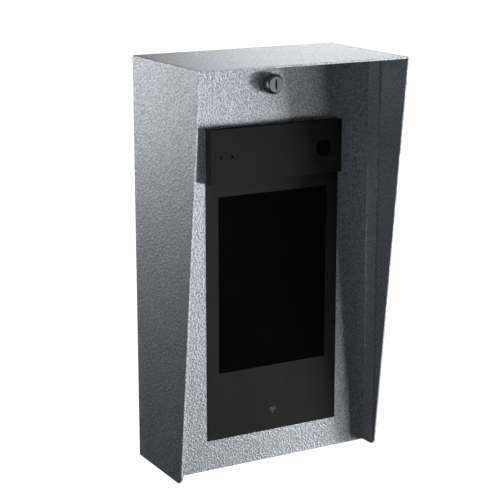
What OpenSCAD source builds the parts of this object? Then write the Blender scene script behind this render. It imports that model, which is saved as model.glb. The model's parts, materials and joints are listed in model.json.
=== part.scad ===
// Hooded wall or pedestal enclosure with a hinged, locking door that carries a touchscreen terminal.
// Origin at the centre of the rear bolt pattern, on the back face. +Z is up and the front faces -Y.
// Depths ("_d") are counted forward from the back face, and heights ("_z") up from the foot.

/* [Housing] */
// Overall width across the side panels
body_w = 253; // [245:1:300]
// Overall height
body_h = 457.2; // [455:0.1:500]
// Depth of the hood at its top edge
hood_d = 157.5; // [145:0.5:190]
// Depth of the side panels at their foot
foot_d = 106.5; // [106:0.5:130]
// Radius of the front corner at the foot of each side panel
foot_r = 8; // [4:0.5:12]
// Thickness of the housing sheet
sheet = 1.9; // [1.5:0.1:2.2]
// Seam between the top panel and the side panels
seam = 0.7; // [0.4:0.1:1]

/* [Rear mounting] */
// Spacing of the four bolt holes, across and up
bolt_spacing = 101.6; // [80:0.1:110]
// Radius of each bolt hole
bolt_hole_r = 3.6; // [2.5:0.1:5]
// Radius of the cable hole in the back panel
cable_hole_r = 14; // [10:0.5:20]
// Radius of the bore through the rubber grommet
grommet_bore_r = 9; // [5:0.5:9]

/* [Door] */
// Depth of the door's front face
face_d = 86.4; // [84:0.1:88]
// Thickness of the door sheet
door_sheet = 1.5; // [1.2:0.1:1.8]
// Height of the flanges folded forward along the door's sides
flange_h = 19.8; // [12:0.1:20]
// Gap between the door and the side panels
door_gap = 0.6; // [0.4:0.1:1]

/* [Hinge] */
// Number of knuckles along the hinge
knuckle_count = 11; // [5:2:15]
// Length of one knuckle with its gap
knuckle_pitch = 20; // [12:1:20]
// Outer radius of a knuckle
knuckle_r = 3; // [2.6:0.1:3]
// Radius of the hinge pin
pin_r = 1.25; // [1:0.05:1.5]

/* [Terminal] */
// Width of the terminal's front
term_w = 164.8; // [160:0.1:180]
// Height of the terminal's lower edge above the foot
term_z0 = 35.9; // [35.5:0.1:38]
// Height of the terminal's upper edge above the foot
term_z1 = 385; // [382:0.5:390]
// Height of the head bar
bar_h = 58.5; // [50:0.5:62]
// How far the head bar stands in front of the door's face
bar_proud = 9.1; // [8:0.1:12]
// Width of the touch glass
glass_w = 136; // [132:0.5:140]
// Height of the touch glass
glass_h = 198; // [180:0.5:200]
// Height of the touch glass's lower edge above the foot
glass_z0 = 112.5; // [112:0.5:116]
// Radius of the camera window
camera_r = 9.5; // [8:0.1:11]

/* [Lock] */
// Height of the lock's centre above the foot
lock_z = 428.6; // [426:0.1:429]
// Place of the lock's centre across, from the middle of the door
lock_x = -2.2; // [-3:0.1:3]
// Radius of the lock's head
lock_head_r = 11; // [11:0.1:12.5]
// Radius of the lock's threaded barrel
lock_barrel_r = 9.5; // [9:0.1:10]
// Reach of the cam from the lock's centre
cam_reach = 24; // [20:0.5:24]

/* [Hidden] */
$fn = 64;

// Depth kept between a sliding or turning shaft and its hole, on the radius
running = 0.05;

// Housing sheet metal
inner_x = body_w / 2 - sheet;
wrap_bend_r = 2.5;
lip_h = 12;
lip_overlap = 0.4;
lip_back_d = 12;
lip_front_d = 66;
floor_front_d = 75;
roof_z = body_h - sheet;
drain_r = 3;
drain_x = 100;
drain_d = 30;

// Door sheet metal
door_back_d = face_d - door_sheet;
door_half_w = inner_x - door_gap;
door_bend_r = 2.5;
door_z0 = 1.3;
door_top_z = roof_z - 1;
cutout_gap = 0.2;

// Door stops and the seal on them
stop_leg = 12;
stop_t = 1.5;
stop_d = door_back_d - 3.3;
stop_z0 = 16;
stop_z1 = roof_z - 14;
stop_top_half_w = 110;
seal_inset = 1;
seal_front_d = door_back_d - 0.3;

// Hinge line, low down behind the door
hinge_offset = 3.4;
hinge_d = door_back_d - hinge_offset;
hinge_z = sheet + knuckle_r;
leaf_t = 1.2;
knuckle_gap = 0.6;
knuckle_clear = 0.4;
hinge_half_l = knuckle_count * knuckle_pitch / 2;
rivet_r = 1.6;
rivet_d = 60;

// Equipment plates on the back panel
plate_d = 10;
plate_t = 1.5;
plate_front_d = plate_d + plate_t;
plate_half_w = 85;
upper_plate_z = [300, 430];
lower_plate_z = [40, 160];
plate_corner = 8;
standoff_r = 4;
m4_r = 2;
screw_gap = 0.1;

// Equipment on the plates
supply_x = [-76, 14];
supply_z = [322, 408];
supply_depth = 30;
supply_step_d = plate_front_d + 14;
supply_step_h = 14;
relay_x = [-78, -12];
relay_z = [58, 142];
relay_board_d = plate_front_d + 5;
earth_x = 100;
earth_z = 110;
earth_stud_r = 3;

// Terminal stack: its rim bears on the back of the door, and its bezel fills the cut-out
gasket_t = 1;
bezel_back_d = door_back_d - gasket_t;
bezel_front_d = face_d + 0.6;
bar_front_d = face_d + bar_proud;
bar_z0 = term_z1 - bar_h;
bar_wall = 2;
glass_t = 1.1;
glass_front_d = bezel_front_d - 0.1;
glass_back_d = glass_front_d - glass_t;
glass_gap = 0.15;
shell_half_w = 73;
shell_z0 = 47;
shell_z1 = 373;
shell_back_d = 60;
shell_wall = 2;
rim_w = 5;
rim_back_d = bezel_back_d - shell_wall;
camera_x = 58.5;
camera_z = 355;
mic_x = [-69.3, -56];
mic_hole_r = 1.7;
boss_r = 3.5;
m3_r = 1.5;
m3_head_r = 2.9;
m3_head_h = 2;
boss_places = [[-66, 54], [66, 54], [-66, 366], [66, 366], [0, 366]];
clamp_z = [110, 310];
clamp_t = 1.5;
clamp_screw_x = 95;
clamp_boss_r = 4.5;
board_d = 66;
board_t = 1.6;
board_places = [[-56, 128], [56, 128], [-56, 322], [56, 322]];
socket_half_w = 20;
socket_t = 12;
socket_z = [44, 58];
plug_z0 = 34;
speaker_x = 0;
speaker_z = 345;

// Lock, measured forward from the seat of its head
lock_seat_d = face_d + 0.5;
plug_r = 6;
plug_face_r = 8.25;
lock_back = -16.5;
head_front = 9.2;
plug_front = 9.4;
recess_floor = 7.2;
tail_half = 4;
cam_t = 2.1;
cam_front = -17.2;
cam_half_w = 7;
tail_back = cam_front - cam_t - 0.2;

// Door switch
switch_x = -105;
switch_z = [405, 420];
switch_mid_z = (switch_z[0] + switch_z[1]) / 2;
switch_front_d = stop_d - 4;
plunger_r = 2.5;

// Route of the door harness: across, depth, height above the foot
harness_r = 3.5;
harness_sides = 8;
harness_route = [
    [0, 72, 34], [0, 71.5, 26], [0, 68, 18], [1, 61, 12.5], [3, 52, 10.5], [8, 43, 12],
    [16, 36, 17], [26, 31, 27], [35, 28, 42], [40, 26.5, 60], [41, 26, 76], [41, 26, 90]
];

// Raises a shape drawn from the foot to the part's own origin
module lift() {
    translate([0, 0, -body_h / 2]) children();
}

// Box between two values on each axis: across, forward from the back, and up from the foot
module block(x0, x1, d0, d1, z0, z1) {
    translate([x0, -d1, z0]) cube([x1 - x0, d1 - d0, z1 - z0]);
}

// Extrudes an outline drawn across and up, from one depth to another
module slab(d0, d1) {
    translate([0, -d0, 0]) rotate([90, 0, 0]) linear_extrude(d1 - d0) children();
}

// Extrudes an outline drawn in depth and height, from one place across to another
module along_x(x0, x1) {
    translate([x1, 0, 0]) rotate([90, 0, -90]) linear_extrude(x1 - x0) children();
}

// Round bar or hole that runs forward
module rod(x, z, r, d0, d1) {
    translate([x, -d0, z]) rotate([90, 0, 0]) cylinder(r = r, h = d1 - d0);
}

// Round bar or hole that runs across
module cross_rod(x0, x1, d, z, r) {
    translate([x0, -d, z]) rotate([0, 90, 0]) cylinder(r = r, h = x1 - x0);
}

// Plan of a sheet whose rear corners are rounded
module round_backed(w, depth, r) {
    translate([-w / 2, -depth]) square([w, depth - r]);
    translate([-w / 2 + r, -r]) square([w - 2 * r, r]);
    for (side = [-1, 1])
        translate([side * (w / 2 - r), -r]) circle(r);
}

// Plan of a sheet folded into a channel that opens forward
module channel(w, depth, t, r) {
    difference() {
        round_backed(w, depth, r);
        translate([0, -t]) round_backed(w - 2 * t, depth, r - t);
    }
}

// Outline of a side panel in depth and height: the hood deepens from the foot to the top
module side_outline() {
    lean = atan((hood_d - foot_d) / body_h);
    arc_d = foot_d - foot_r * (1 - sin(lean)) / cos(lean);
    arc = [for (i = [0:8]) let (a = -90 + i * (90 - lean) / 8)
        [arc_d + foot_r * cos(a), foot_r + foot_r * sin(a)]];
    polygon(concat([[-1, 0]], arc, [[hood_d, body_h], [-1, body_h]]));
}

// Flat panel with short lips turned up for welding to the back and the sides
module lipped_panel(front_d) {
    half_w = inner_x - seam;
    block(-half_w, half_w, sheet + seam, front_d, 0, sheet);
    block(-plate_half_w, plate_half_w, sheet, 2 * sheet, sheet - lip_overlap, sheet + lip_h);
    for (side = [0, 1])
        mirror([side, 0, 0])
            block(inner_x - sheet, inner_x, lip_back_d, lip_front_d, sheet - lip_overlap, sheet + lip_h);
}

// Rivet or screw blank with a domed head that faces forward; the seat is under its head
module rivet(r, head_r, head_h, length) {
    translate([0, 0, -length]) cylinder(r = r, h = length + head_h / 2);
    rotate_extrude()
        polygon(concat([[0, 0]], [for (a = [0:15:90]) [head_r * cos(a), head_h * sin(a)]]));
}

// Screw with a cross recess in its domed head
module screw(r, head_r, head_h, length) {
    cross_half = 0.5 * head_r;
    cross_w = 0.26 * head_r;
    cross_floor = 0.56 * head_h;
    difference() {
        rivet(r, head_r, head_h, length);
        for (turn = [0, 90])
            rotate(turn) translate([-cross_half, -cross_w / 2, cross_floor])
                cube([2 * cross_half, cross_w, head_h]);
    }
}

module wrap() {
    color([0.62, 0.64, 0.67]) lift() difference() {
        intersection() {
            linear_extrude(body_h) channel(body_w, hood_d + sheet, sheet, wrap_bend_r);
            along_x(-body_w / 2, body_w / 2) side_outline();
        }
        for (x = [-1, 1], z = [-1, 1])
            rod(x * bolt_spacing / 2, (body_h + z * bolt_spacing) / 2, bolt_hole_r, -1, sheet + 1);
        rod(0, body_h / 2, cable_hole_r, -1, sheet + 1);
    }
}

module top_panel() {
    color([0.74, 0.75, 0.77]) lift()
        translate([0, 0, body_h]) mirror([0, 0, 1]) lipped_panel(hood_d);
}

module floor_panel() {
    color([0.62, 0.64, 0.67]) lift() difference() {
        lipped_panel(floor_front_d);
        for (side = [-1, 1])
            translate([side * drain_x, -drain_d, -1]) cylinder(r = drain_r, h = sheet + 2);
        hinge_rivet_places() cylinder(r = rivet_r, h = sheet + 2, center = true);
    }
}

// Angle welded inside the right side panel, which the door closes against
module stop_angle() {
    block(inner_x - stop_leg, inner_x, stop_d - stop_t, stop_d, stop_z0, stop_z1);
    block(inner_x - stop_t, inner_x, stop_d - stop_leg, stop_d, stop_z0, stop_z1);
}

module stop_angle_right() {
    color([0.62, 0.64, 0.67]) lift() stop_angle();
}

module stop_angle_left() {
    color([0.62, 0.64, 0.67]) lift() mirror([1, 0, 0]) stop_angle();
}

module stop_angle_top() {
    top_leg = 7;
    color([0.62, 0.64, 0.67]) lift() {
        block(-stop_top_half_w, stop_top_half_w, stop_d - stop_t, stop_d, roof_z - stop_leg, roof_z);
        block(-stop_top_half_w, stop_top_half_w, stop_d - top_leg, stop_d, roof_z - stop_t, roof_z);
    }
}

module door_seal() {
    outer_x = inner_x - seal_inset;
    seal_w = 10;
    color([0.07, 0.07, 0.07]) lift() {
        for (side = [0, 1])
            mirror([side, 0, 0])
                block(outer_x - seal_w, outer_x, stop_d, seal_front_d, stop_z0, stop_z1);
        block(seal_inset - stop_top_half_w, stop_top_half_w - seal_inset, stop_d, seal_front_d,
            roof_z - stop_leg + seal_inset, roof_z - seal_inset);
    }
}

// Bracket under the roof that the cam turns up behind
module strike_bracket() {
    half_w = 18;
    cam_clear = 1.9;
    drop = 11.3;
    tab_depth = 10;
    plate_back_d = lock_seat_d + cam_front + cam_clear;
    color([0.7, 0.71, 0.73]) lift() {
        block(-half_w, half_w, plate_back_d, plate_back_d + stop_t, roof_z - drop, roof_z);
        block(-half_w, half_w, plate_back_d - tab_depth, plate_back_d, roof_z - stop_t, roof_z);
    }
}

module hinge_rivet_places() {
    rivet_pitch = 38;
    for (i = [-2.5:1:2.5])
        translate([i * rivet_pitch, -rivet_d, sheet]) children();
}

// Knuckles of one leaf: every second one, starting at the first (0) or the second (1)
module knuckles(first) {
    for (i = [first:2:knuckle_count - 1]) {
        x0 = -hinge_half_l + i * knuckle_pitch + knuckle_gap / 2;
        translate([x0, 0, 0]) children();
    }
}

module hinge_leaf_fixed() {
    leaf_front_d = hinge_d - knuckle_r - knuckle_clear;
    leaf_back_d = 50;
    knuckle_l = knuckle_pitch - knuckle_gap;
    color([0.72, 0.72, 0.7]) lift() difference() {
        union() {
            block(-hinge_half_l + 1, hinge_half_l - 1, leaf_back_d, leaf_front_d, sheet, sheet + leaf_t);
            knuckles(0) {
                block(0, knuckle_l, leaf_front_d - 1, hinge_d, sheet, sheet + leaf_t);
                cross_rod(0, knuckle_l, hinge_d, hinge_z, knuckle_r);
            }
        }
        cross_rod(-hinge_half_l - 1, hinge_half_l + 1, hinge_d, hinge_z, pin_r);
        hinge_rivet_places() cylinder(r = rivet_r, h = 2 * sheet + leaf_t, center = true);
    }
}

module hinge_leaf_moving() {
    leaf_z0 = hinge_z + knuckle_r + knuckle_clear;
    leaf_z1 = 29.5;
    leaf_back_d = door_back_d - leaf_t;
    knuckle_l = knuckle_pitch - knuckle_gap;
    color([0.72, 0.72, 0.7]) lift() difference() {
        union() {
            block(-hinge_half_l + 1, hinge_half_l - 1, leaf_back_d, door_back_d, leaf_z0, leaf_z1);
            knuckles(1) {
                block(0, knuckle_l, leaf_back_d, door_back_d, hinge_z, leaf_z0 + 1);
                cross_rod(0, knuckle_l, hinge_d, hinge_z, knuckle_r);
            }
        }
        cross_rod(-hinge_half_l - 1, hinge_half_l + 1, hinge_d, hinge_z, pin_r + running);
    }
}

module hinge_pin() {
    head_l = 1;
    head_lap = 0.6;
    color([0.8, 0.8, 0.8]) lift() {
        cross_rod(-hinge_half_l, hinge_half_l, hinge_d, hinge_z, pin_r);
        for (side = [0, 1])
            mirror([side, 0, 0])
                cross_rod(hinge_half_l, hinge_half_l + head_l, hinge_d, hinge_z, pin_r + head_lap);
    }
}

module hinge_rivets() {
    head_r = 3.2;
    head_h = 1.3;
    color([0.75, 0.75, 0.75]) lift() hinge_rivet_places()
        translate([0, 0, leaf_t]) rivet(rivet_r, head_r, head_h, sheet + leaf_t);
}

module cable_grommet() {
    flange_r = cable_hole_r + 3;
    flange_t = 2.5;
    color([0.06, 0.06, 0.06]) lift() difference() {
        union() {
            rod(0, body_h / 2, cable_hole_r, 0, sheet + flange_t);
            rod(0, body_h / 2, flange_r, sheet, sheet + flange_t);
        }
        rod(0, body_h / 2, grommet_bore_r, -1, sheet + flange_t + 1);
    }
}

// The four corners of an equipment plate, given its lowest and highest edges
module plate_corners(z) {
    for (x = [-1, 1], end_z = [z[0] + plate_corner, z[1] - plate_corner])
        translate([x * (plate_half_w - plate_corner), 0, end_z]) children();
}

module equipment_plate(z) {
    difference() {
        block(-plate_half_w, plate_half_w, plate_d, plate_front_d, z[0], z[1]);
        plate_corners(z) rod(0, 0, m4_r + screw_gap, plate_d - 1, plate_front_d + 1);
    }
}

module upper_plate() {
    color([0.78, 0.79, 0.8]) lift() equipment_plate(upper_plate_z);
}

module lower_plate() {
    color([0.78, 0.79, 0.8]) lift() equipment_plate(lower_plate_z);
}

module plate_standoffs() {
    thread_l = 6;
    color([0.7, 0.7, 0.68]) lift()
        for (z = [upper_plate_z, lower_plate_z])
            plate_corners(z) difference() {
                rod(0, 0, standoff_r, sheet, plate_d);
                rod(0, 0, m4_r, plate_d - thread_l, plate_d + 1);
            }
}

module plate_screws() {
    head_r = 3.8;
    head_h = 2.6;
    length = 6;
    color([0.8, 0.8, 0.8]) lift()
        for (z = [upper_plate_z, lower_plate_z])
            plate_corners(z)
                translate([0, -plate_front_d, 0]) rotate([90, 0, 0]) screw(m4_r, head_r, head_h, length);
}

// Slotted case with a step along its lower edge for the terminals
module power_supply() {
    slot_count = 9;
    slot_pitch = 8;
    slot_w = 3;
    slot_depth = 1.5;
    front_d = plate_front_d + supply_depth;
    color([0.75, 0.76, 0.77]) lift() difference() {
        block(supply_x[0], supply_x[1], plate_front_d, front_d, supply_z[0], supply_z[1]);
        block(supply_x[0] - 1, supply_x[1] + 1, supply_step_d, front_d + 1, supply_z[0] - 1,
            supply_z[0] + supply_step_h);
        for (i = [0:slot_count - 1])
            block(supply_x[0] + 12 + i * slot_pitch, supply_x[0] + 12 + i * slot_pitch + slot_w,
                front_d - slot_depth, front_d + 1, supply_z[0] + 26, supply_z[1] - 12);
    }
}

module power_supply_terminals() {
    ways = 7;
    pitch = 10;
    screw_r = 3;
    end_gap = 6;
    block_t = 12;
    front_d = supply_step_d + block_t;
    z0 = supply_z[0] + 1;
    color([0.12, 0.12, 0.13]) lift() difference() {
        block(supply_x[0] + end_gap, supply_x[1] - end_gap, supply_step_d, front_d, z0, z0 + block_t);
        for (i = [0:ways - 1])
            rod(supply_x[0] + end_gap + 9 + i * pitch, z0 + block_t / 2, screw_r, front_d - 6, front_d + 1);
    }
}

// Radio modem with shallow cooling slots and one aerial socket
module modem() {
    x = [30, 78];
    z = [332, 402];
    slot_count = 5;
    slot_pitch = 9;
    slot_w = 3;
    slot_margin = 8;
    aerial_r = 3.2;
    aerial_h = 9;
    depth = 22;
    front_d = plate_front_d + depth;
    color([0.16, 0.17, 0.18]) lift() difference() {
        union() {
            block(x[0], x[1], plate_front_d, front_d, z[0], z[1]);
            translate([x[1] - 10, -plate_front_d - depth / 2, z[1]]) cylinder(r = aerial_r, h = aerial_h);
        }
        for (i = [0:slot_count - 1])
            block(x[0] + slot_margin, x[1] - slot_margin, front_d - 1, front_d + 1,
                z[0] + 16 + i * slot_pitch, z[0] + 16 + i * slot_pitch + slot_w);
    }
}

module relay_board() {
    foot_r = 3;
    foot_inset = 5;
    color([0.05, 0.28, 0.14]) lift() {
        block(relay_x[0], relay_x[1], relay_board_d, relay_board_d + board_t, relay_z[0], relay_z[1]);
        for (x = [relay_x[0] + foot_inset, relay_x[1] - foot_inset])
            for (z = [relay_z[0] + foot_inset, relay_z[1] - foot_inset])
                rod(x, z, foot_r, plate_front_d, relay_board_d + board_t / 2);
    }
}

module relays() {
    size = [28, 15.5, 19];
    back_d = relay_board_d + board_t;
    x0 = relay_x[0] + 12;
    color([0.1, 0.22, 0.5]) lift()
        for (z0 = [relay_z[0] + 8, relay_z[0] + 46])
            block(x0, x0 + size[0], back_d, back_d + size[1], z0, z0 + size[2]);
}

// Terminal block with a raised middle: screws on its face and wire entries above
module wiring_block() {
    ways = 8;
    pitch = 8;
    x0 = 8;
    z = [90, 130];
    raised_z = [100, 120];
    base_t = 18;
    front_d = plate_front_d + 26;
    screw_r = 2.4;
    screw_depth = 5;
    entry_r = 2;
    entry_depth = 7;
    color([0.55, 0.56, 0.56]) lift() difference() {
        union() {
            block(x0, x0 + ways * pitch, plate_front_d, plate_front_d + base_t, z[0], z[1]);
            block(x0, x0 + ways * pitch, plate_front_d + base_t - 1, front_d, raised_z[0], raised_z[1]);
        }
        for (i = [0:ways - 1]) {
            x = x0 + (i + 0.5) * pitch;
            rod(x, (z[0] + z[1]) / 2, screw_r, front_d - screw_depth, front_d + 1);
            translate([x, -plate_front_d - base_t / 2, z[1] - entry_depth])
                cylinder(r = entry_r, h = entry_depth + 1);
        }
    }
}

module earth_stud() {
    length = 18;
    color([0.78, 0.68, 0.4]) lift() rod(earth_x, earth_z, earth_stud_r, sheet, sheet + length);
}

module earth_nuts() {
    across_corners_r = 5.8;
    nut_t = 4.5;
    nut_pitch = 7;
    color([0.8, 0.7, 0.42]) lift()
        for (d = [sheet, sheet + nut_pitch])
            difference() {
                translate([earth_x, -d, earth_z]) rotate([90, 0, 0])
                    cylinder(r = across_corners_r, h = nut_t, $fn = 6);
                rod(earth_x, earth_z, earth_stud_r, d - 1, d + nut_t + 1);
            }
}

// Plunger switch on the left side panel, which feels whether the door is shut
module switch_body() {
    rear_d = 46;
    foot_front_d = 60;
    back_w = 14;
    front_w = 6;
    cap_t = 2;
    chamber_r = 3.6;
    chamber_d = 56;
    color([0.1, 0.1, 0.1]) lift() difference() {
        union() {
            block(switch_x - back_w, switch_x + front_w, rear_d, switch_front_d, switch_z[0], switch_z[1]);
            block(-inner_x, switch_x - back_w + 1, rear_d, foot_front_d, switch_z[0], switch_z[1]);
        }
        rod(switch_x, switch_mid_z, chamber_r, chamber_d, switch_front_d - cap_t);
        rod(switch_x, switch_mid_z, plunger_r + running, switch_front_d - cap_t - 1, switch_front_d + 1);
    }
}

module switch_plunger() {
    collar_d = 66;
    collar_t = 2;
    collar_r = 3.4;
    color([0.75, 0.1, 0.08]) lift() {
        rod(switch_x, switch_mid_z, plunger_r, collar_d, seal_front_d);
        rod(switch_x, switch_mid_z, collar_r, collar_d, collar_d + collar_t);
    }
}

// Outline of the cut-out, and of anything that stands a margin outside it, across and up
module terminal_outline(margin) {
    translate([-term_w / 2 - margin, term_z0 - margin])
        square([term_w + 2 * margin, term_z1 - term_z0 + 2 * margin]);
}

// Places of the screws that hold the terminal's clamp plates
module clamp_places() {
    for (x = [-clamp_screw_x, clamp_screw_x], z = clamp_z)
        translate([x, 0, z]) children();
}

module door_panel() {
    corner = foot_r;
    barrel_gap = 0.1;
    color([0.66, 0.68, 0.71]) lift() difference() {
        union() {
            translate([0, -door_back_d, door_z0]) linear_extrude(door_top_z - door_z0)
                channel(2 * door_half_w, flange_h + door_sheet, door_sheet, door_bend_r);
            clamp_places() rod(0, 0, clamp_boss_r, rim_back_d, door_back_d + door_sheet / 2);
        }
        slab(door_back_d - 1, face_d + 1) terminal_outline(cutout_gap);
        rod(lock_x, lock_z, lock_barrel_r + barrel_gap, door_back_d - 1, face_d + 1);
        clamp_places() rod(0, 0, m3_r, rim_back_d - 1, door_back_d);
        along_x(-body_w, body_w)
            polygon([[face_d + flange_h - corner, 0], [face_d + flange_h + 1, 0],
                [face_d + flange_h + 1, door_z0 + corner + 1], [face_d + flange_h, door_z0 + corner],
                [face_d + flange_h - 0.3 * corner, door_z0 + 0.3 * corner],
                [face_d + flange_h - corner, door_z0]]);
    }
}

module lock_housing() {
    shoulder = 5.6;
    face_r = 9.3;
    edge = 0.4;
    color([0.33, 0.34, 0.36]) lift()
        translate([lock_x, -lock_seat_d, lock_z]) rotate([90, 0, 0]) rotate_extrude()
            polygon([
                [plug_r + running, lock_back], [lock_barrel_r, lock_back], [lock_barrel_r, 0],
                [lock_head_r, 0], [lock_head_r, shoulder], [face_r, head_front - edge],
                [face_r - edge, head_front], [plug_face_r + running, head_front],
                [plug_face_r + running, recess_floor], [plug_r + running, recess_floor]
            ]);
}

module lock_nut() {
    across_corners_r = 13.9;
    nut_t = 3.5;
    color([0.7, 0.7, 0.7]) lift() difference() {
        translate([lock_x, -door_back_d + nut_t, lock_z]) rotate([90, 0, 0])
            cylinder(r = across_corners_r, h = nut_t, $fn = 6);
        rod(lock_x, lock_z, lock_barrel_r, door_back_d - nut_t - 1, door_back_d + 1);
    }
}

module lock_gasket() {
    inset = 0.4;
    color([0.05, 0.05, 0.05]) lift() difference() {
        rod(lock_x, lock_z, lock_head_r - inset, face_d, lock_seat_d);
        rod(lock_x, lock_z, lock_barrel_r, face_d - 1, lock_seat_d + 1);
    }
}

module lock_plug() {
    keyway_w = 2.3;
    keyway_h = 11.3;
    keyway_lip = 1.6;
    key_h = 8;
    key_depth = 9;
    thread_l = 8;
    shank_z = cam_front + 0.2;
    color([0.66, 0.67, 0.68]) lift()
        translate([lock_x, -lock_seat_d, lock_z]) rotate([90, 0, 0]) difference() {
            union() {
                translate([0, 0, recess_floor + running])
                    cylinder(r = plug_face_r, h = plug_front - recess_floor - running);
                translate([0, 0, shank_z]) cylinder(r = plug_r, h = recess_floor + 1 - shank_z);
                translate([-tail_half, -tail_half, tail_back])
                    cube([2 * tail_half, 2 * tail_half, shank_z + 1 - tail_back]);
            }
            translate([-keyway_w / 2, -keyway_h / 2, plug_front - keyway_lip])
                cube([keyway_w, keyway_h, keyway_lip + 1]);
            translate([-keyway_w / 2, -key_h / 2, plug_front - key_depth])
                cube([keyway_w, key_h, key_depth + 1]);
            translate([0, 0, tail_back - 1]) cylinder(r = m3_r, h = thread_l);
        }
}

// Cam at rest points across, so the door is free; a quarter turn brings it up behind the strike
module lock_cam() {
    end_x = cam_reach - cam_half_w;
    color([0.7, 0.7, 0.7]) lift()
        translate([lock_x, -lock_seat_d, lock_z]) rotate([90, 0, 0]) translate([0, 0, cam_front - cam_t])
            linear_extrude(cam_t) difference() {
                union() {
                    circle(cam_half_w + 1);
                    translate([0, -cam_half_w]) square([end_x, 2 * cam_half_w]);
                    translate([end_x, 0]) circle(cam_half_w);
                }
                square(2 * tail_half, center = true);
            }
}

module cam_screw() {
    head_r = 5.2;
    head_h = 2.4;
    length = 6;
    color([0.78, 0.78, 0.78]) lift()
        translate([lock_x, -lock_seat_d - tail_back, lock_z]) rotate([-90, 0, 0])
            screw(m3_r, head_r, head_h, length);
}

module front_bezel() {
    glass_seat = 3;
    speaker_hole_r = 12;
    camera_hole_half = 10;
    thread_l = 2;
    view_half_w = glass_w / 2 - glass_seat;
    pocket_half_w = glass_w / 2 + glass_gap;
    color([0.17, 0.17, 0.17]) lift() difference() {
        slab(bezel_back_d, bezel_front_d) terminal_outline(0);
        block(-pocket_half_w, pocket_half_w, glass_back_d, bezel_front_d + 1,
            glass_z0 - glass_gap, glass_z0 + glass_h + glass_gap);
        block(-view_half_w, view_half_w, bezel_back_d - 1, bezel_front_d,
            glass_z0 + glass_seat, glass_z0 + glass_h - glass_seat);
        block(camera_x - camera_hole_half, camera_x + camera_hole_half, bezel_back_d - 1,
            bezel_front_d + 1, camera_z - camera_hole_half, camera_z + camera_hole_half);
        rod(speaker_x, speaker_z, speaker_hole_r, bezel_back_d - 1, bezel_front_d + 1);
        for (p = boss_places)
            rod(p[0], p[1], m3_r, bezel_back_d - 1, bezel_back_d + thread_l);
    }
}

module terminal_gasket() {
    color([0.05, 0.05, 0.05]) lift() slab(bezel_back_d, door_back_d) difference() {
        terminal_outline(rim_w - 0.2);
        terminal_outline(2 * cutout_gap);
    }
}

// Rear shell: a box with ribs on its back and a rim that bears on the back of the door
module terminal_shell() {
    rib_count = 9;
    rib_pitch = 12;
    rib_t = 2;
    rib_h = 3;
    rib_z = [130, 320];
    inner_half_w = shell_half_w - shell_wall;
    color([0.13, 0.13, 0.14]) lift() difference() {
        union() {
            block(-shell_half_w, shell_half_w, shell_back_d, bezel_back_d, shell_z0, shell_z1);
            slab(rim_back_d, bezel_back_d) terminal_outline(rim_w);
            for (i = [0:rib_count - 1]) {
                x = (i - (rib_count - 1) / 2) * rib_pitch;
                block(x - rib_t / 2, x + rib_t / 2, shell_back_d - rib_h, shell_back_d + 1,
                    rib_z[0], rib_z[1]);
            }
        }
        difference() {
            block(-inner_half_w, inner_half_w, shell_back_d + shell_wall, bezel_back_d + 1,
                shell_z0 + shell_wall, shell_z1 - shell_wall);
            for (p = boss_places)
                rod(p[0], p[1], boss_r, shell_back_d, bezel_back_d);
        }
        for (p = boss_places)
            rod(p[0], p[1], m3_r, shell_back_d - 1, bezel_back_d + 1);
        block(-socket_half_w, socket_half_w, board_d, board_d + socket_t, shell_z0 - 1,
            shell_z0 + shell_wall + 1);
    }
}

module shell_screws() {
    color([0.6, 0.6, 0.6]) lift()
        for (p = boss_places)
            translate([p[0], -shell_back_d, p[1]]) rotate([-90, 0, 0])
                screw(m3_r, m3_head_r, m3_head_h, bezel_back_d - shell_back_d + 1.7);
}

// Flat plates that lie on the door's bosses and press the terminal's rim forward
module clamp_brackets() {
    inner_x = 79;
    outer_x = 101;
    half_h = 9;
    color([0.75, 0.75, 0.76]) lift() difference() {
        for (side = [0, 1], z = clamp_z)
            mirror([side, 0, 0])
                block(inner_x, outer_x, rim_back_d - clamp_t, rim_back_d, z - half_h, z + half_h);
        clamp_places() rod(0, 0, m3_r + screw_gap, rim_back_d - clamp_t - 1, rim_back_d + 1);
    }
}

module clamp_screws() {
    length = 4.2;
    color([0.6, 0.6, 0.6]) lift()
        clamp_places()
            translate([0, clamp_t - rim_back_d, 0]) rotate([-90, 0, 0])
                screw(m3_r, m3_head_r, m3_head_h, length);
}

module touch_glass() {
    color([0.03, 0.03, 0.03]) lift()
        block(-glass_w / 2, glass_w / 2, glass_back_d, glass_front_d, glass_z0, glass_z0 + glass_h);
}

module display_panel() {
    inset = 4;
    panel_t = 1.9;
    half_w = glass_w / 2 - inset;
    color([0.1, 0.1, 0.12]) lift()
        block(-half_w, half_w, glass_back_d - panel_t, glass_back_d,
            glass_z0 + inset, glass_z0 + glass_h - inset);
}

module backlight_tray() {
    front_d = bezel_back_d - 0.2;
    tray_t = 3;
    half_w = glass_w / 2;
    color([0.7, 0.7, 0.7]) lift()
        block(-half_w, half_w, front_d - tray_t, front_d, glass_z0, glass_z0 + glass_h);
}

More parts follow.
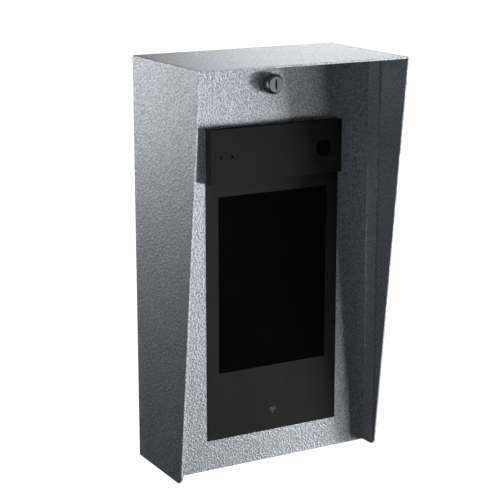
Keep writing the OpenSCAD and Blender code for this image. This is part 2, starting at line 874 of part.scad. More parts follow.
// Hollow bar across the terminal's top, with loudspeaker slots through its underside
module head_bar() {
    corner_r = 1.4;
    slot_count = 5;
    slot_pitch = 7;
    slot_l = 4;
    slot_w = 2.5;
    slot_d = bezel_front_d + 2;
    inner_half_w = term_w / 2 - bar_wall;
    color([0.13, 0.13, 0.14]) lift() difference() {
        translate([0, -bar_front_d, bar_z0]) linear_extrude(bar_h) mirror([0, 1, 0])
            round_backed(term_w, bar_front_d - bezel_front_d, corner_r);
        block(-inner_half_w, inner_half_w, bezel_front_d - 1, bar_front_d - bar_wall,
            bar_z0 + bar_wall, term_z1 - bar_wall);
        rod(camera_x, camera_z, camera_r, bar_front_d - bar_wall - 1, bar_front_d + 1);
        for (x = mic_x)
            rod(x, camera_z, mic_hole_r, bar_front_d - bar_wall - 1, bar_front_d + 1);
        for (i = [0:slot_count - 1]) {
            x = speaker_x + (i - (slot_count - 1) / 2) * slot_pitch;
            block(x - slot_l / 2, x + slot_l / 2, slot_d, slot_d + slot_w,
                bar_z0 - 1, bar_z0 + bar_wall + 1);
        }
    }
}

module camera_window() {
    back_d = bar_front_d - 1.2;
    front_d = bar_front_d - 0.1;
    color([0.02, 0.02, 0.02]) lift() rod(camera_x, camera_z, camera_r, back_d, front_d);
}

module camera_barrel() {
    base_r = 6.5;
    lens_r = 5.2;
    bore_r = 3.6;
    bore_depth = 1.6;
    back_d = bezel_front_d - 1.3;
    step_d = bezel_front_d + 3;
    front_d = bar_front_d - 2.4;
    color([0.05, 0.05, 0.05]) lift() difference() {
        union() {
            rod(camera_x, camera_z, base_r, back_d, step_d);
            rod(camera_x, camera_z, lens_r, back_d, front_d);
        }
        rod(camera_x, camera_z, bore_r, front_d - bore_depth, front_d + 1);
    }
}

module camera_board() {
    half_w = 8.5;
    front_d = bezel_front_d - 1.3;
    camera_board_t = 1.2;
    color([0.05, 0.28, 0.14]) lift()
        block(camera_x - half_w, camera_x + half_w, front_d - camera_board_t, front_d,
            camera_z - half_w, camera_z + half_w);
}

module microphones() {
    capsule_r = 3;
    capsule_t = 3;
    front_d = bar_front_d - bar_wall;
    color([0.6, 0.6, 0.58]) lift()
        for (x = mic_x)
            rod(x, camera_z, capsule_r, front_d - capsule_t, front_d);
}

// Round loudspeaker behind the bezel: a rim with its magnet behind
module speaker() {
    rim_r = 14;
    rim_t = 3;
    magnet_r = 9;
    magnet_t = 7;
    rim_d = bezel_back_d - 0.5;
    color([0.2, 0.2, 0.2]) lift() {
        rod(speaker_x, speaker_z, rim_r, rim_d - rim_t, rim_d);
        rod(speaker_x, speaker_z, magnet_r, rim_d - rim_t - magnet_t + 1, rim_d - rim_t + 1);
    }
}

// Board with four square chips, each given by its place across, its height and its width
module main_board() {
    half_w = 62;
    z = [122, 328];
    chip_h = 2.4;
    chips = [[-30, 250, 28], [18, 245, 22], [-34, 180, 18], [20, 178, 26]];
    face = board_d + board_t;
    color([0.04, 0.24, 0.13]) lift() {
        block(-half_w, half_w, board_d, face, z[0], z[1]);
        for (c = chips)
            block(c[0], c[0] + c[2], face - 0.1, face + chip_h, c[1], c[1] + c[2]);
    }
}

module board_standoffs() {
    standoff_r = 2.6;
    color([0.75, 0.68, 0.42]) lift()
        for (p = board_places)
            rod(p[0], p[1], standoff_r, shell_back_d + shell_wall, board_d);
}

module reader_board() {
    half_w = 35;
    z = [62, 108];
    front_d = bezel_back_d - 1;
    color([0.05, 0.28, 0.14]) lift() block(-half_w, half_w, front_d - board_t, front_d, z[0], z[1]);
}

// Plain wave mark that shows where a card is presented: a dot under three arcs
module reader_symbol() {
    line_w = 0.7;
    spread = 48;
    mark_z = 56.3;
    mark_t = 0.15;
    reach = 9;
    color([0.7, 0.7, 0.7]) lift() slab(bezel_front_d, bezel_front_d + mark_t) translate([0, mark_z]) {
        circle(line_w);
        for (r = [2.2, 4.1, 6])
            intersection() {
                difference() {
                    circle(r + line_w / 2);
                    circle(r - line_w / 2);
                }
                polygon([[0, 0], [reach * sin(spread), reach * cos(spread)], [0, 2 * reach],
                    [-reach * sin(spread), reach * cos(spread)]]);
            }
    }
}

module io_socket() {
    color([0.15, 0.4, 0.2]) lift()
        block(-socket_half_w, socket_half_w, board_d, board_d + socket_t, socket_z[0], socket_z[1]);
}

module harness_plug() {
    half_w = 18;
    color([0.13, 0.36, 0.18]) lift()
        block(-half_w, half_w, board_d + 1, board_d + socket_t - 1, plug_z0, socket_z[0]);
}

// Cable swept along the harness route, as rings of points joined into one closed skin
module door_harness() {
    route = [for (p = harness_route) [p[0], -p[1], p[2]]];
    last = len(route) - 1;
    along = [for (i = [0:last]) let (v = route[min(i + 1, last)] - route[max(i - 1, 0)]) v / norm(v)];
    across = [for (t = along) let (v = cross(t, [1, 0, 0])) v / norm(v)];
    points = [for (i = [0:last], k = [0:harness_sides - 1])
        let (a = 360 * k / harness_sides, other = cross(along[i], across[i]))
        route[i] + harness_r * (cos(a) * across[i] + sin(a) * other)];
    walls = [for (i = [0:last - 1], k = [0:harness_sides - 1], half = [0, 1])
        let (n = (k + 1) % harness_sides, here = i * harness_sides, up = here + harness_sides)
        half == 0 ? [here + k, up + k, up + n] : [here + k, up + n, here + n]];
    first_cap = [[for (k = [0:harness_sides - 1]) k]];
    last_cap = [[for (k = [harness_sides - 1:-1:0]) last * harness_sides + k]];
    color([0.08, 0.08, 0.08]) lift() polyhedron(points, concat(walls, first_cap, last_cap));
}

wrap();
top_panel();
floor_panel();
stop_angle_left();
stop_angle_right();
stop_angle_top();
door_seal();
strike_bracket();
hinge_leaf_fixed();
hinge_pin();
hinge_rivets();
cable_grommet();
upper_plate();
lower_plate();
plate_standoffs();
plate_screws();
power_supply();
power_supply_terminals();
modem();
relay_board();
relays();
wiring_block();
earth_stud();
earth_nuts();
switch_body();
door_panel();
hinge_leaf_moving();
lock_housing();
lock_nut();
lock_gasket();
front_bezel();
terminal_gasket();
terminal_shell();
shell_screws();
clamp_brackets();
clamp_screws();
touch_glass();
display_panel();
backlight_tray();
head_bar();
camera_window();
camera_barrel();
camera_board();
microphones();
speaker();
main_board();
board_standoffs();
reader_board();
reader_symbol();
io_socket();
harness_plug();
door_harness();
lock_plug();
lock_cam();
cam_screw();
switch_plunger();
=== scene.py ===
import json
import math

import bmesh
import bpy
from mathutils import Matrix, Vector


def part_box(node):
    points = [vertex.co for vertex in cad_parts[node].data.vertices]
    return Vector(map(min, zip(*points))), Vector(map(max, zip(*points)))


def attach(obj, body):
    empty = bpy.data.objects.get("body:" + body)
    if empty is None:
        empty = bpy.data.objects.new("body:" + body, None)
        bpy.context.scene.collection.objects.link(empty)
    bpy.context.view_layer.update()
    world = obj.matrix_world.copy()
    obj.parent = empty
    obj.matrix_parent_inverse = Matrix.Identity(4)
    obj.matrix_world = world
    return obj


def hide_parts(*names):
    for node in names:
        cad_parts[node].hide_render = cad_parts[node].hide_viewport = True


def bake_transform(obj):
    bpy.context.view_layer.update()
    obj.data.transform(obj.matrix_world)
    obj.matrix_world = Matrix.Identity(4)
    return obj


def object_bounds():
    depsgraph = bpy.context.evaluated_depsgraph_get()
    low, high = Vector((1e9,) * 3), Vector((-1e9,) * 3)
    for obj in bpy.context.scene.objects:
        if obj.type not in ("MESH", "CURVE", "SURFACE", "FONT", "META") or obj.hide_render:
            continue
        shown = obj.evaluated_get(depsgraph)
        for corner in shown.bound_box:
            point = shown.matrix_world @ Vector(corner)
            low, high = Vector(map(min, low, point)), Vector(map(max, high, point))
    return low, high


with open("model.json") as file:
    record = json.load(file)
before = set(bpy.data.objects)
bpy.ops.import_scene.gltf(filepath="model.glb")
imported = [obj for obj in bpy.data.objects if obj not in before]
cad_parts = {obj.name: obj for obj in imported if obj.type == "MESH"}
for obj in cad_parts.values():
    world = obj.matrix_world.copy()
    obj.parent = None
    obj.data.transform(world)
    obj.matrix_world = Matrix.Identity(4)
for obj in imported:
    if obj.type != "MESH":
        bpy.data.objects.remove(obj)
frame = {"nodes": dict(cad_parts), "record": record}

NODES = frame["nodes"]
cad_low, cad_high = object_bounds()
HEIGHT = cad_high.z - cad_low.z
MM = 0.001


# ---------------------------------------------------------------- shader helpers

class Shader:
    """One node material under construction: a Principled shader and the nodes that feed it."""

    def __init__(self, name):
        self.material = bpy.data.materials.new(name)
        self.material.use_nodes = True
        self.tree = self.material.node_tree
        self.tree.nodes.clear()
        self.out = self.add("ShaderNodeOutputMaterial")
        self.bsdf = self.add("ShaderNodeBsdfPrincipled")
        self.join(self.bsdf, "BSDF", self.out, "Surface")
        self.place = self.add("ShaderNodeTexCoord")

    def add(self, kind, **values):
        node = self.tree.nodes.new(kind)
        for key, value in values.items():
            setattr(node, key, value)
        return node

    def join(self, source, output, target, socket):
        self.tree.links.new(source.outputs[output], target.inputs[socket])

    def set(self, node=None, **values):
        target = node or self.bsdf
        for key, value in values.items():
            target.inputs[key.replace("_", " ")].default_value = value

    def stretched(self, x, y, z):
        """Object coordinates multiplied along each axis, for grain that runs one way."""
        node = self.add("ShaderNodeMapping")
        node.inputs["Scale"].default_value = (x, y, z)
        self.join(self.place, "Object", node, "Vector")
        return node

    def noise(self, scale, detail=3.0, rough=0.55, vector=None):
        node = self.add("ShaderNodeTexNoise")
        self.set(node, Scale=scale, Detail=detail, Roughness=rough)
        if vector is None:
            self.join(self.place, "Object", node, "Vector")
        else:
            self.join(vector, 0, node, "Vector")
        return node

    def ramp(self, source, output, stops):
        """A colour ramp. Each stop is a position and a colour."""
        node = self.add("ShaderNodeValToRGB")
        elements = node.color_ramp.elements
        while len(elements) < len(stops):
            elements.new(0.5)
        for element, (position, colour) in zip(elements, stops):
            element.position = position
            element.color = (*colour, 1)
        self.join(source, output, node, "Fac")
        return node

    def span(self, source, output, low, high):
        """A 0 to 1 value mapped to low to high."""
        node = self.add("ShaderNodeMapRange")
        self.set(node, To_Min=low, To_Max=high)
        self.join(source, output, node, "Value")
        return node

    def bump(self, source, output, strength, distance):
        node = self.add("ShaderNodeBump")
        self.set(node, Strength=strength, Distance=distance)
        self.join(source, output, node, "Height")
        return node


def tinted(colour, factor):
    """A colour made lighter or darker."""
    return tuple(factor * channel for channel in colour)


def hammertone():
    """Silver hammertone paint: shallow pits a couple of millimetres apart between lighter ridges."""
    pit_spacing = 2 * MM
    wander = 1.1 * MM
    fine_share = 0.35
    pit_colour = (0.27, 0.293, 0.325)
    slope_colour = (0.545, 0.58, 0.63)
    ridge_colour = (0.76, 0.80, 0.85)
    s = Shader("hammertone")
    warp = s.noise(480, detail=2)
    offset = s.add("ShaderNodeVectorMath", operation="MULTIPLY_ADD")
    s.join(warp, "Color", offset, 0)
    offset.inputs[1].default_value = (wander, wander, wander)
    s.join(s.place, "Object", offset, 2)
    pits = s.add("ShaderNodeTexVoronoi", feature="SMOOTH_F1")
    s.set(pits, Scale=1 / pit_spacing, Smoothness=0.2)
    s.join(offset, 0, pits, "Vector")
    fine = s.noise(1500, detail=2, rough=0.6)
    height = s.add("ShaderNodeMath", operation="MULTIPLY_ADD")
    s.join(fine, "Fac", height, 0)
    height.inputs[1].default_value = fine_share
    s.join(pits, "Distance", height, 2)
    tone = s.ramp(height, "Value", [(0.28, pit_colour), (0.52, slope_colour), (0.85, ridge_colour)])
    s.join(tone, "Color", s.bsdf, "Base Color")
    rough = s.span(s.noise(140, detail=2), "Fac", 0.5, 0.6)
    s.join(rough, "Result", s.bsdf, "Roughness")
    bumps = s.bump(height, "Value", 0.62, 0.4 * MM)
    s.join(bumps, "Normal", s.bsdf, "Normal")
    s.set(Metallic=0.9)
    return s.material


def brushed_metal(name, colour, rough=0.32, along=(900, 60, 900)):
    """Plated or polished metal with fine directional scratches."""
    s = Shader(name)
    grain = s.noise(1.0, detail=4, vector=s.stretched(*along))
    patch = s.noise(45, detail=3)
    tone = s.ramp(patch, "Fac", [(0.3, tinted(colour, 0.82)), (0.7, colour)])
    s.join(tone, "Color", s.bsdf, "Base Color")
    s.join(s.span(grain, "Fac", rough - 0.08, rough + 0.1), "Result", s.bsdf, "Roughness")
    s.join(s.bump(grain, "Fac", 0.12, 0.1 * MM), "Normal", s.bsdf, "Normal")
    s.set(Metallic=1.0)
    return s.material


def moulded(name, colour, rough=0.45, grain=2200, depth=0.18, gloss=0.5):
    """Moulded plastic with a fine spark-eroded grain and slight tone variation."""
    s = Shader(name)
    texture = s.noise(grain, detail=3, rough=0.6)
    patch = s.noise(30, detail=3)
    tone = s.ramp(patch, "Fac", [(0.3, tinted(colour, 0.9)), (0.7, tinted(colour, 1.1))])
    s.join(tone, "Color", s.bsdf, "Base Color")
    s.join(s.span(patch, "Fac", rough - 0.05, rough + 0.05), "Result", s.bsdf, "Roughness")
    s.join(s.bump(texture, "Fac", depth, 0.08 * MM), "Normal", s.bsdf, "Normal")
    s.set(Specular_IOR_Level=gloss)
    return s.material


def black_glass(name, colour):
    """Glass printed black on its rear face, with faint handling smears in its gloss."""
    s = Shader(name)
    smear = s.noise(18, detail=5, rough=0.65)
    tone = s.ramp(smear, "Fac", [(0.35, tinted(colour, 0.9)), (0.65, tinted(colour, 1.15))])
    s.join(tone, "Color", s.bsdf, "Base Color")
    s.join(s.span(smear, "Fac", 0.03, 0.09), "Result", s.bsdf, "Roughness")
    s.set(IOR=1.5, Specular_IOR_Level=0.35)
    return s.material


def solder_resist():
    """Green board with copper tracks showing through the lacquer."""
    s = Shader("circuit_board")
    tracks = s.add("ShaderNodeTexBrick")
    s.set(tracks, Scale=55.0, Mortar_Size=0.035)
    s.set(tracks, Color1=(0.006, 0.075, 0.028, 1), Color2=(0.008, 0.095, 0.036, 1))
    s.set(tracks, Mortar=(0.02, 0.16, 0.06, 1))
    tilted = s.add("ShaderNodeMapping")
    tilted.inputs["Rotation"].default_value = (math.pi / 2, 0, 0)
    s.join(s.place, "Object", tilted, "Vector")
    s.join(tilted, "Vector", tracks, "Vector")
    s.join(tracks, "Color", s.bsdf, "Base Color")
    s.join(s.bump(tracks, "Fac", 0.2, 0.05 * MM), "Normal", s.bsdf, "Normal")
    s.join(s.span(s.noise(60), "Fac", 0.22, 0.34), "Result", s.bsdf, "Roughness")
    s.set(Coat_Weight=0.4, Coat_Roughness=0.1)
    return s.material


MATERIALS = {
    "hammertone_paint": hammertone(),
    "zinc_steel": brushed_metal("zinc_steel", (0.62, 0.62, 0.60)),
    "dark_chrome": brushed_metal("dark_chrome", (0.20, 0.21, 0.23), rough=0.2, along=(300, 1500, 300)),
    "plug_steel": brushed_metal("plug_steel", (0.62, 0.63, 0.64), rough=0.34, along=(500, 500, 500)),
    "black_rubber": moulded("black_rubber", (0.018, 0.018, 0.018), rough=0.75, depth=0.3),
    "bezel_plastic": moulded("bezel_plastic", (0.028, 0.029, 0.029), rough=0.6, gloss=0.12),
    "bar_plastic": moulded("bar_plastic", (0.019, 0.019, 0.0195), rough=0.6, gloss=0.12),
    "black_plastic": moulded("black_plastic", (0.02, 0.02, 0.022), rough=0.55, grain=1200, depth=0.3),
    "grey_plastic": moulded("grey_plastic", (0.30, 0.31, 0.31), rough=0.5),
    "green_plastic": moulded("green_plastic", (0.03, 0.16, 0.06), rough=0.45),
    "red_plastic": moulded("red_plastic", (0.5, 0.03, 0.02), rough=0.35),
    "relay_blue": moulded("relay_blue", (0.02, 0.07, 0.32), rough=0.35),
    "black_glass": black_glass("black_glass", (0.0035, 0.0036, 0.004)),
    "display_glass": black_glass("display_glass", (0.01, 0.01, 0.014)),
    "pressed_aluminium": brushed_metal("pressed_aluminium", (0.6, 0.61, 0.62), rough=0.38,
                                       along=(60, 900, 900)),
    "circuit_board": solder_resist(),
    "brass_parts": brushed_metal("brass_parts", (0.62, 0.46, 0.20), rough=0.3),
    "symbol_print": moulded("symbol_print", (0.22, 0.22, 0.22), rough=0.6),
    "wire_black": moulded("wire_black", (0.015, 0.015, 0.016), rough=0.4, grain=600),
    "wire_red": moulded("wire_red", (0.42, 0.02, 0.015), rough=0.4, grain=600),
    "wire_blue": moulded("wire_blue", (0.02, 0.06, 0.34), rough=0.4, grain=600),
    "wire_white": moulded("wire_white", (0.6, 0.6, 0.57), rough=0.4, grain=600),
    "wire_green": moulded("wire_green", (0.10, 0.36, 0.05), rough=0.4, grain=600),
}


def dress_cad_nodes():
    """Every CAD node takes the material of its slot in the record."""
    for part in frame["record"]["subparts"]:
        piece = NODES[part["node"]]
        material = MATERIALS[part["material_slot"]]
        if piece.material_slots:
            for slot in piece.material_slots:
                slot.material = material
        else:
            piece.data.materials.append(material)


def round_edges(names, width):
    """Small bevels on the CAD nodes' sharp edges, so that they catch the light. Width is in millimetres."""
    sharp = math.radians(35)
    for name in names:
        piece = NODES[name]
        weld = piece.modifiers.new("weld", "WELD")
        weld.merge_threshold = 0.01 * MM
        bevel = piece.modifiers.new("bevel", "BEVEL")
        bevel.width = width * MM
        bevel.segments = 3
        bevel.limit_method = "ANGLE"
        bevel.angle_limit = sharp
        bevel.harden_normals = True


# ---------------------------------------------------------------- detail pieces

def spot(across, depth, height):
    """A point from millimetres across, forward from the back, and up from the foot."""
    return Vector((across * MM, -depth * MM, cad_low.z + height * MM))


def smooth_route(points, steps=6):
    """A Catmull-Rom curve through the points."""
    ends = [2 * points[0] - points[1], *points, 2 * points[-1] - points[-2]]
    route = []
    for a, b, c, d in zip(ends, ends[1:], ends[2:], ends[3:]):
        for step in range(steps):
            t = step / steps
            route.append(0.5 * (2 * b + (c - a) * t + (2 * a - 5 * b + 4 * c - d) * t ** 2
                                + (3 * b - a - 3 * c + d) * t ** 3))
    return route + [points[-1]]


def routed(places, steps=6):
    """A smooth route through places that are given as spot() takes them."""
    return smooth_route([spot(*place) for place in places], steps)


def square_to(route):
    """Two directions square to the route at each point, carried along it without twist."""
    before = [route[0], *route[:-1]]
    after = [*route[1:], route[-1]]
    along = [(ahead - behind).normalized() for behind, ahead in zip(before, after)]
    first = along[0].orthogonal().normalized()
    pairs = []
    for direction in along:
        first = (first - first.dot(direction) * direction).normalized()
        pairs.append((first, direction.cross(first)))
    return pairs


def skin(mesh, rings, material):
    """Adds a smooth wall over rings of a bmesh's vertices, and closes both ends."""
    for low, high in zip(rings, rings[1:]):
        for side in range(len(low)):
            after = (side + 1) % len(low)
            face = mesh.faces.new((low[side], low[after], high[after], high[side]))
            face.smooth = True
            face.material_index = material
    for end in (list(reversed(rings[0])), rings[-1]):
        mesh.faces.new(end).material_index = material


def sweep(mesh, route, radius, sides=8, material=0):
    """Adds a round tube along the route to a bmesh. Radius is one value, or a list with one per point."""
    radii = radius if isinstance(radius, list) else [radius] * len(route)
    rings = []
    for centre, (one, other), size in zip(route, square_to(route), radii):
        ring = []
        for side in range(sides):
            angle = 2 * math.pi * side / sides
            ring.append(mesh.verts.new(centre + size * (math.cos(angle) * one + math.sin(angle) * other)))
        rings.append(ring)
    skin(mesh, rings, material)


def finished(name, mesh, materials, body=None):
    """Turns a bmesh into a piece with the named materials. It rides on body, if one is given."""
    data = bpy.data.meshes.new(name)
    bmesh.ops.recalc_face_normals(mesh, faces=mesh.faces)
    mesh.to_mesh(data)
    mesh.free()
    for material in materials:
        data.materials.append(MATERIALS[material])
    piece = bpy.data.objects.new(name, data)
    bpy.context.scene.collection.objects.link(piece)
    if body:
        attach(piece, body)
    return piece


def rounded_box(mesh, low, high, edge, material=0):
    """Adds a box between two corners with rounded edges to a bmesh. The edge's radius is in millimetres."""
    part = bmesh.new()
    bmesh.ops.create_cube(part, size=1)
    size = high - low
    for vert in part.verts:
        vert.co = Vector([low[i] + size[i] * (vert.co[i] + 0.5) for i in range(3)])
    bmesh.ops.bevel(part, geom=part.edges[:], offset=edge * MM, segments=2, profile=0.5, affect="EDGES")
    for face in part.faces:
        face.material_index = material
    join_parts(mesh, part)


def turned(mesh, foot, axis, profile, material=0):
    """Adds a lathed shape to a bmesh. Its profile lists radius and height above foot, in millimetres."""
    sides = 20
    turn = axis.to_track_quat("Z", "Y")
    rings = []
    for radius, height in profile:
        ring = []
        for side in range(sides):
            angle = 2 * math.pi * side / sides
            point = Vector((radius * math.cos(angle), radius * math.sin(angle), height)) * MM
            ring.append(mesh.verts.new(foot + turn @ point))
        rings.append(ring)
    skin(mesh, rings, material)


def join_parts(mesh, part):
    """Copies one bmesh into another and frees it."""
    data = bpy.data.meshes.new("part")
    part.to_mesh(data)
    part.free()
    mesh.from_mesh(data)
    bpy.data.meshes.remove(data)


FORWARD = Vector((0, -1, 0))
UPWARD = Vector((0, 0, 1))
WIRE_COLOURS = ["wire_black", "wire_red", "wire_blue", "wire_white", "wire_green"]


def door_harness():
    """Five twisted wires from the wiring block to the terminal's plug, tied at four places."""
    wire_r = 1.05 * MM
    spread = 1.9 * MM
    lay = 26 * MM
    plug_pitch = 6.2
    block_pitch = 8
    last_x = 41
    route = routed((
        (0, 71.5, 26), (0, 68, 18), (1, 61, 12.5), (3, 52, 10.5), (8, 43, 12),
        (16, 36, 17), (26, 31, 27), (35, 28, 42), (40, 26.5, 60), (last_x, 26, 76)), steps=8)
    pairs = square_to(route)
    block_low, block_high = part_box("wiring_block")
    block_x = (block_low.x + block_high.x) / 2 / MM
    count = len(WIRE_COLOURS)
    mesh = bmesh.new()
    for index in range(count):
        lane = index - (count - 1) / 2
        plug_x = lane * plug_pitch
        terminal_x = block_x + lane * block_pitch
        path = [spot(plug_x, 72, 34), spot(plug_x, 72, 32)]
        travelled = 0
        for step, (centre, (one, other)) in enumerate(zip(route, pairs)):
            if step:
                travelled += (centre - route[step - 1]).length
            angle = 2 * math.pi * (index / count + travelled / lay)
            path.append(centre + spread * (math.cos(angle) * one + math.sin(angle) * other))
        path += [spot((terminal_x + last_x) / 2, 26, 83), spot(terminal_x, 26, 88), spot(terminal_x, 26, 91)]
        sweep(mesh, smooth_route(path, steps=2), wire_r, material=index)
    for place in (6, 26, 46, 66):
        cable_tie(mesh, route[place], pairs[place])
    piece = finished("door_harness_bundle", mesh, WIRE_COLOURS)
    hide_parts("door_harness")
    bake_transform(piece)


def cable_tie(mesh, centre, pair):
    """Adds a strap with chamfered edges around the bundle to a bmesh."""
    half_w = 1.1 * MM
    half_flat = 0.9 * MM
    edge_r = 3.0 * MM
    flat_r = 3.25 * MM
    along = pair[0].cross(pair[1])
    ring = [centre + reach * along for reach in (-half_w, -half_flat, half_flat, half_w)]
    sweep(mesh, ring, [edge_r, flat_r, flat_r, edge_r], sides=18)


def inside_wires():
    """Supply, relay, modem and earth wires, laid along the back clear of the mounting holes."""
    wire_r = 1.0 * MM
    earth_r = 1.2 * MM
    run_x = 92
    gap = 2.4
    black, red, blue, white, green = range(len(WIRE_COLOURS))
    left_run = ((-64, -70, red), (-54, -62, black), (-44, -54, blue), (-34, -46, white))
    right_run = ((-4, 325, 26, red), (4, 325, 34, black), (46, 334, 44, blue), (62, 334, 54, white))
    mesh = bmesh.new()
    for lane, (from_x, to_x, colour) in enumerate(left_run):
        shift = gap * lane
        side = -run_x - shift
        route = routed((
            (from_x, 31, 325), (from_x, 31, 318), (from_x - 4, 24, 308 - shift),
            (side + 12, 8, 298 - shift), (side, 5, 284), (side, 4.2, 240), (side, 4.2, 190),
            (side, 6, 164), (side + 12, 14, 150 + shift), (to_x, 22, 148), (to_x, 21.5, 140),
            (to_x, 18.6, 136)))
        sweep(mesh, route, wire_r, material=colour)
    for lane, (from_x, from_z, to_x, colour) in enumerate(right_run):
        shift = gap * lane
        side = run_x + shift
        route = routed((
            (from_x, 30, from_z), (from_x, 30, from_z - 7), (from_x + 10, 22, from_z - 16 - shift),
            (side - 12, 8, 300 - shift), (side, 5, 284), (side, 4.2, 240), (side, 4.2, 190),
            (side, 7, 160), (side - 12, 16, 147 + shift), (to_x + 4, 26, 140), (to_x, 27, 134),
            (to_x, 27, 129)))
        sweep(mesh, route, wire_r, material=colour)
    earth = routed((
        (100, 7, 119), (100, 7, 124), (97, 8, 136), (90, 14, 141), (74, 24, 141), (66, 27, 136),
        (66, 27, 129)))
    sweep(mesh, earth, earth_r, material=green)
    finished("inside_wires", mesh, WIRE_COLOURS, "housing")


def cable_clips():
    """Saddle clips that hold the two wire runs against the back."""
    run_x = 95.6
    half_l = 7.2
    half_w = 3
    back_d = 1.9
    front_d = 2.9
    arch = ((-6.2, 2.6), (-5.6, 5.6), (0, 6.4), (5.6, 5.6), (6.2, 2.6))
    mesh = bmesh.new()
    for middle in (-run_x, run_x):
        for height in (180, 262):
            low = spot(middle + half_l, back_d, height - half_w)
            high = spot(middle - half_l, front_d, height + half_w)
            rounded_box(mesh, low, high, 0.3)
            sweep(mesh, routed([(middle + across, depth, height) for across, depth in arch]), 0.9 * MM)
    finished("cable_clips", mesh, ["black_plastic"], "housing")


def relay_board():
    """The relay board's front face and foot in millimetres, as spot() takes them."""
    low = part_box("relay_board")[0]
    return -low.y / MM, (low.z - cad_low.z) / MM


def relay_terminal_strip():
    """Eight screw terminals along the free edge of the relay board."""
    face, foot = relay_board()
    ways = 8
    pitch = 9
    block_h = 8.6
    block_t = 9
    sunk = 0.3
    screw = [(2.3, 0), (2.3, 0.9), (1.9, 1.3), (0.6, 1.3), (0.6, 0.8), (0.2, 0.8)]
    mesh = bmesh.new()
    for index in range(ways):
        low_z = foot + 6 + pitch * index
        rounded_box(mesh, spot(-21.5, face, low_z), spot(-13, face + block_t, low_z + block_h), 0.5)
        turned(mesh, spot(-17.2, face + block_t - sunk, low_z + block_h / 2), FORWARD, screw, material=1)
    finished("relay_terminal_strip", mesh, ["green_plastic", "zinc_steel"], "housing")


def relay_board_parts():
    """A sixteen-legged chip, four capacitors and three diodes on the relay board."""
    face, foot = relay_board()
    plastic, metal, blue = range(3)
    mesh = bmesh.new()
    rounded_box(mesh, spot(-34, face, foot + 32), spot(-26, face + 3.4, foot + 52), 0.35, plastic)
    for index in range(8):
        leg_z = foot + 33.4 + 2.4 * index
        for leg_x in (-35.2, -26):
            end = spot(leg_x + 1.2, face + 1.8, leg_z + 0.9)
            rounded_box(mesh, spot(leg_x, face, leg_z), end, 0.15, metal)
    can = [(3.2, 0), (3.4, 0.5), (3.1, 1.0), (3.4, 1.5), (3.4, 8.4), (3.0, 9), (2.6, 8.8)]
    for height, colour in ((14, blue), (24, plastic), (62, blue), (72, plastic)):
        turned(mesh, spot(-30, face, foot + height), FORWARD, can, colour)
    diode = [(0.3, -3), (0.3, 0), (1.3, 0.1), (1.4, 0.6), (1.4, 4.6), (1.3, 5.1), (0.3, 5.2), (0.3, 8.2)]
    for height in (17.4, 37.4, 57.4):
        turned(mesh, spot(-73, face + 1.4, foot + height), UPWARD, diode, plastic)
    finished("relay_board_parts", mesh, ["black_plastic", "zinc_steel", "relay_blue"], "housing")


def keyway_wards():
    """Two small steps in the lock's keyway, one from each side, which give it the key's section."""
    half_slot = 1.15 * MM
    tip_past_middle = 0.35 * MM
    half_h = 0.4
    inset = 0.2 * MM
    length = 6 * MM
    low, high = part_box("lock_plug")
    middle_x = (low.x + high.x) / 2
    middle_z = (low.z + high.z) / 2
    front = low.y + inset
    mesh = bmesh.new()
    for side, height in ((1, 1.8), (-1, -2.6)):
        ends = sorted((side * half_slot, -side * tip_past_middle))
        near = Vector((middle_x + ends[0], front, middle_z + (height - half_h) * MM))
        far = Vector((middle_x + ends[1], front + length, middle_z + (height + half_h) * MM))
        rounded_box(mesh, near, far, 0.08)
    finished("keyway_wards", mesh, ["plug_steel"], "lock_cylinder")


# ---------------------------------------------------------------- stage

def camera():
    """The photograph's view: 29.1 degrees to the object's left and 13.9 degrees above."""
    azimuth = math.radians(-29.1)
    elevation = math.radians(13.91)
    distance = 3.902 * HEIGHT
    aside = 0.042 * HEIGHT
    below = 0.011 * HEIGHT
    centre_z = (cad_low.z + cad_high.z) / 2
    target = Vector((aside, 0, centre_z - below))
    back = Vector((math.sin(azimuth) * math.cos(elevation), -math.cos(azimuth) * math.cos(elevation),
                   math.sin(elevation)))
    data = bpy.data.cameras.new("camera")
    data.lens = 110.96
    data.sensor_width = 36
    eye = bpy.data.objects.new("camera", data)
    eye.location = target + distance * back
    eye.rotation_euler = back.to_track_quat("Z", "Y").to_euler()
    bpy.context.scene.collection.objects.link(eye)
    bpy.context.scene.camera = eye


def softbox(name, azimuth, elevation, width, height, power, aim=(0, -0.08, 0), reach=2.0):
    """A rectangular light that faces aim. Azimuth 0 is the front and 90 the right. Power is in watts."""
    turn, lift = math.radians(azimuth), math.radians(elevation)
    away = Vector((math.sin(turn) * math.cos(lift), -math.cos(turn) * math.cos(lift), math.sin(lift)))
    data = bpy.data.lights.new(name, "AREA")
    data.shape = "RECTANGLE"
    data.size = width
    data.size_y = height
    data.energy = power
    lamp = bpy.data.objects.new(name, data)
    lamp.location = Vector(aim) + reach * away
    lamp.rotation_euler = away.to_track_quat("Z", "Y").to_euler()
    lamp.visible_camera = False
    bpy.context.scene.collection.objects.link(lamp)


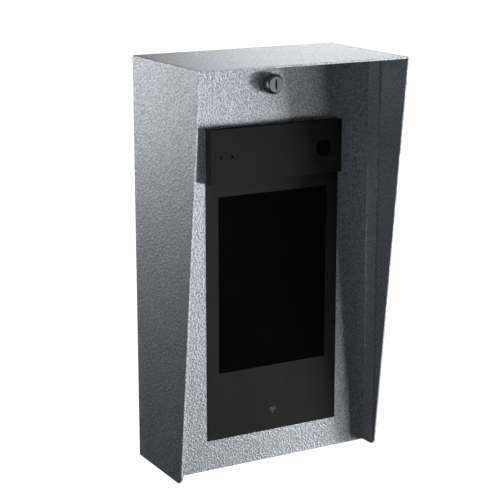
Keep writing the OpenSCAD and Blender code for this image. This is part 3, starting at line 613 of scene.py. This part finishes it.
def stage():
    """A wide pale floor, with the part held clear above it, under a dome of the same white."""
    size = 20
    drop = 0.9
    height = cad_low.z - drop
    plane = bmesh.new()
    bmesh.ops.create_grid(plane, x_segments=1, y_segments=1, size=size)
    dome = bmesh.new()
    bmesh.ops.create_icosphere(dome, subdivisions=4, radius=size)
    for name, mesh, level in (("floor", plane, height), ("backdrop", dome, 0)):
        data = bpy.data.meshes.new(name)
        mesh.to_mesh(data)
        mesh.free()
        s = Shader(name)
        s.set(Base_Color=(0.9, 0.9, 0.9, 1), Roughness=0.9)
        s.set(Emission_Color=(1, 1, 1, 1), Emission_Strength=1.1)
        data.materials.append(s.material)
        staged = bpy.data.objects.new(name, data)
        staged.location.z = level
        staged.visible_glossy = False
        staged.visible_diffuse = False
        staged.visible_shadow = False
        bpy.context.scene.collection.objects.link(staged)


def studio():
    """A low key box far round to the right, weaker ones for the roof and the left side, and fills."""
    world = bpy.data.worlds.new("studio")
    bpy.context.scene.world = world
    world.use_nodes = True
    background = world.node_tree.nodes["Background"]
    background.inputs["Color"].default_value = (1, 1, 1, 1)
    background.inputs["Strength"].default_value = 0.012
    roof_middle = (0, -0.08, cad_high.z)
    left_side = (cad_low.x, -0.06, 0)
    softbox("key", 67, -7, 0.6, 0.5, 37)
    softbox("key_edge", 50, -19, 0.5, 0.5, 4.2)
    softbox("roof", 144, 16, 0.8, 0.45, 8.5, aim=roof_middle)
    softbox("left", -151, 8, 0.5, 0.2, 2.3, aim=left_side, reach=1.1)
    softbox("fill_left", -57, -5, 0.6, 0.6, 1.3)
    softbox("fill_high", -20, 50, 0.6, 0.6, 1.5)
    softbox("rear_right", 135, -14, 1.2, 0.9, 5)
    softbox("below", 135, -62, 1.0, 0.8, 4, reach=1.0)
    bpy.context.scene.view_settings.view_transform = "Standard"


dress_cad_nodes()
round_edges(["wrap", "top_panel", "door_panel"], 0.4)
round_edges(["front_bezel", "head_bar"], 0.6)
round_edges(["touch_glass", "camera_window", "lock_housing", "lock_plug"], 0.3)
door_harness()
inside_wires()
cable_clips()
relay_terminal_strip()
relay_board_parts()
keyway_wards()
camera()
stage()
studio()
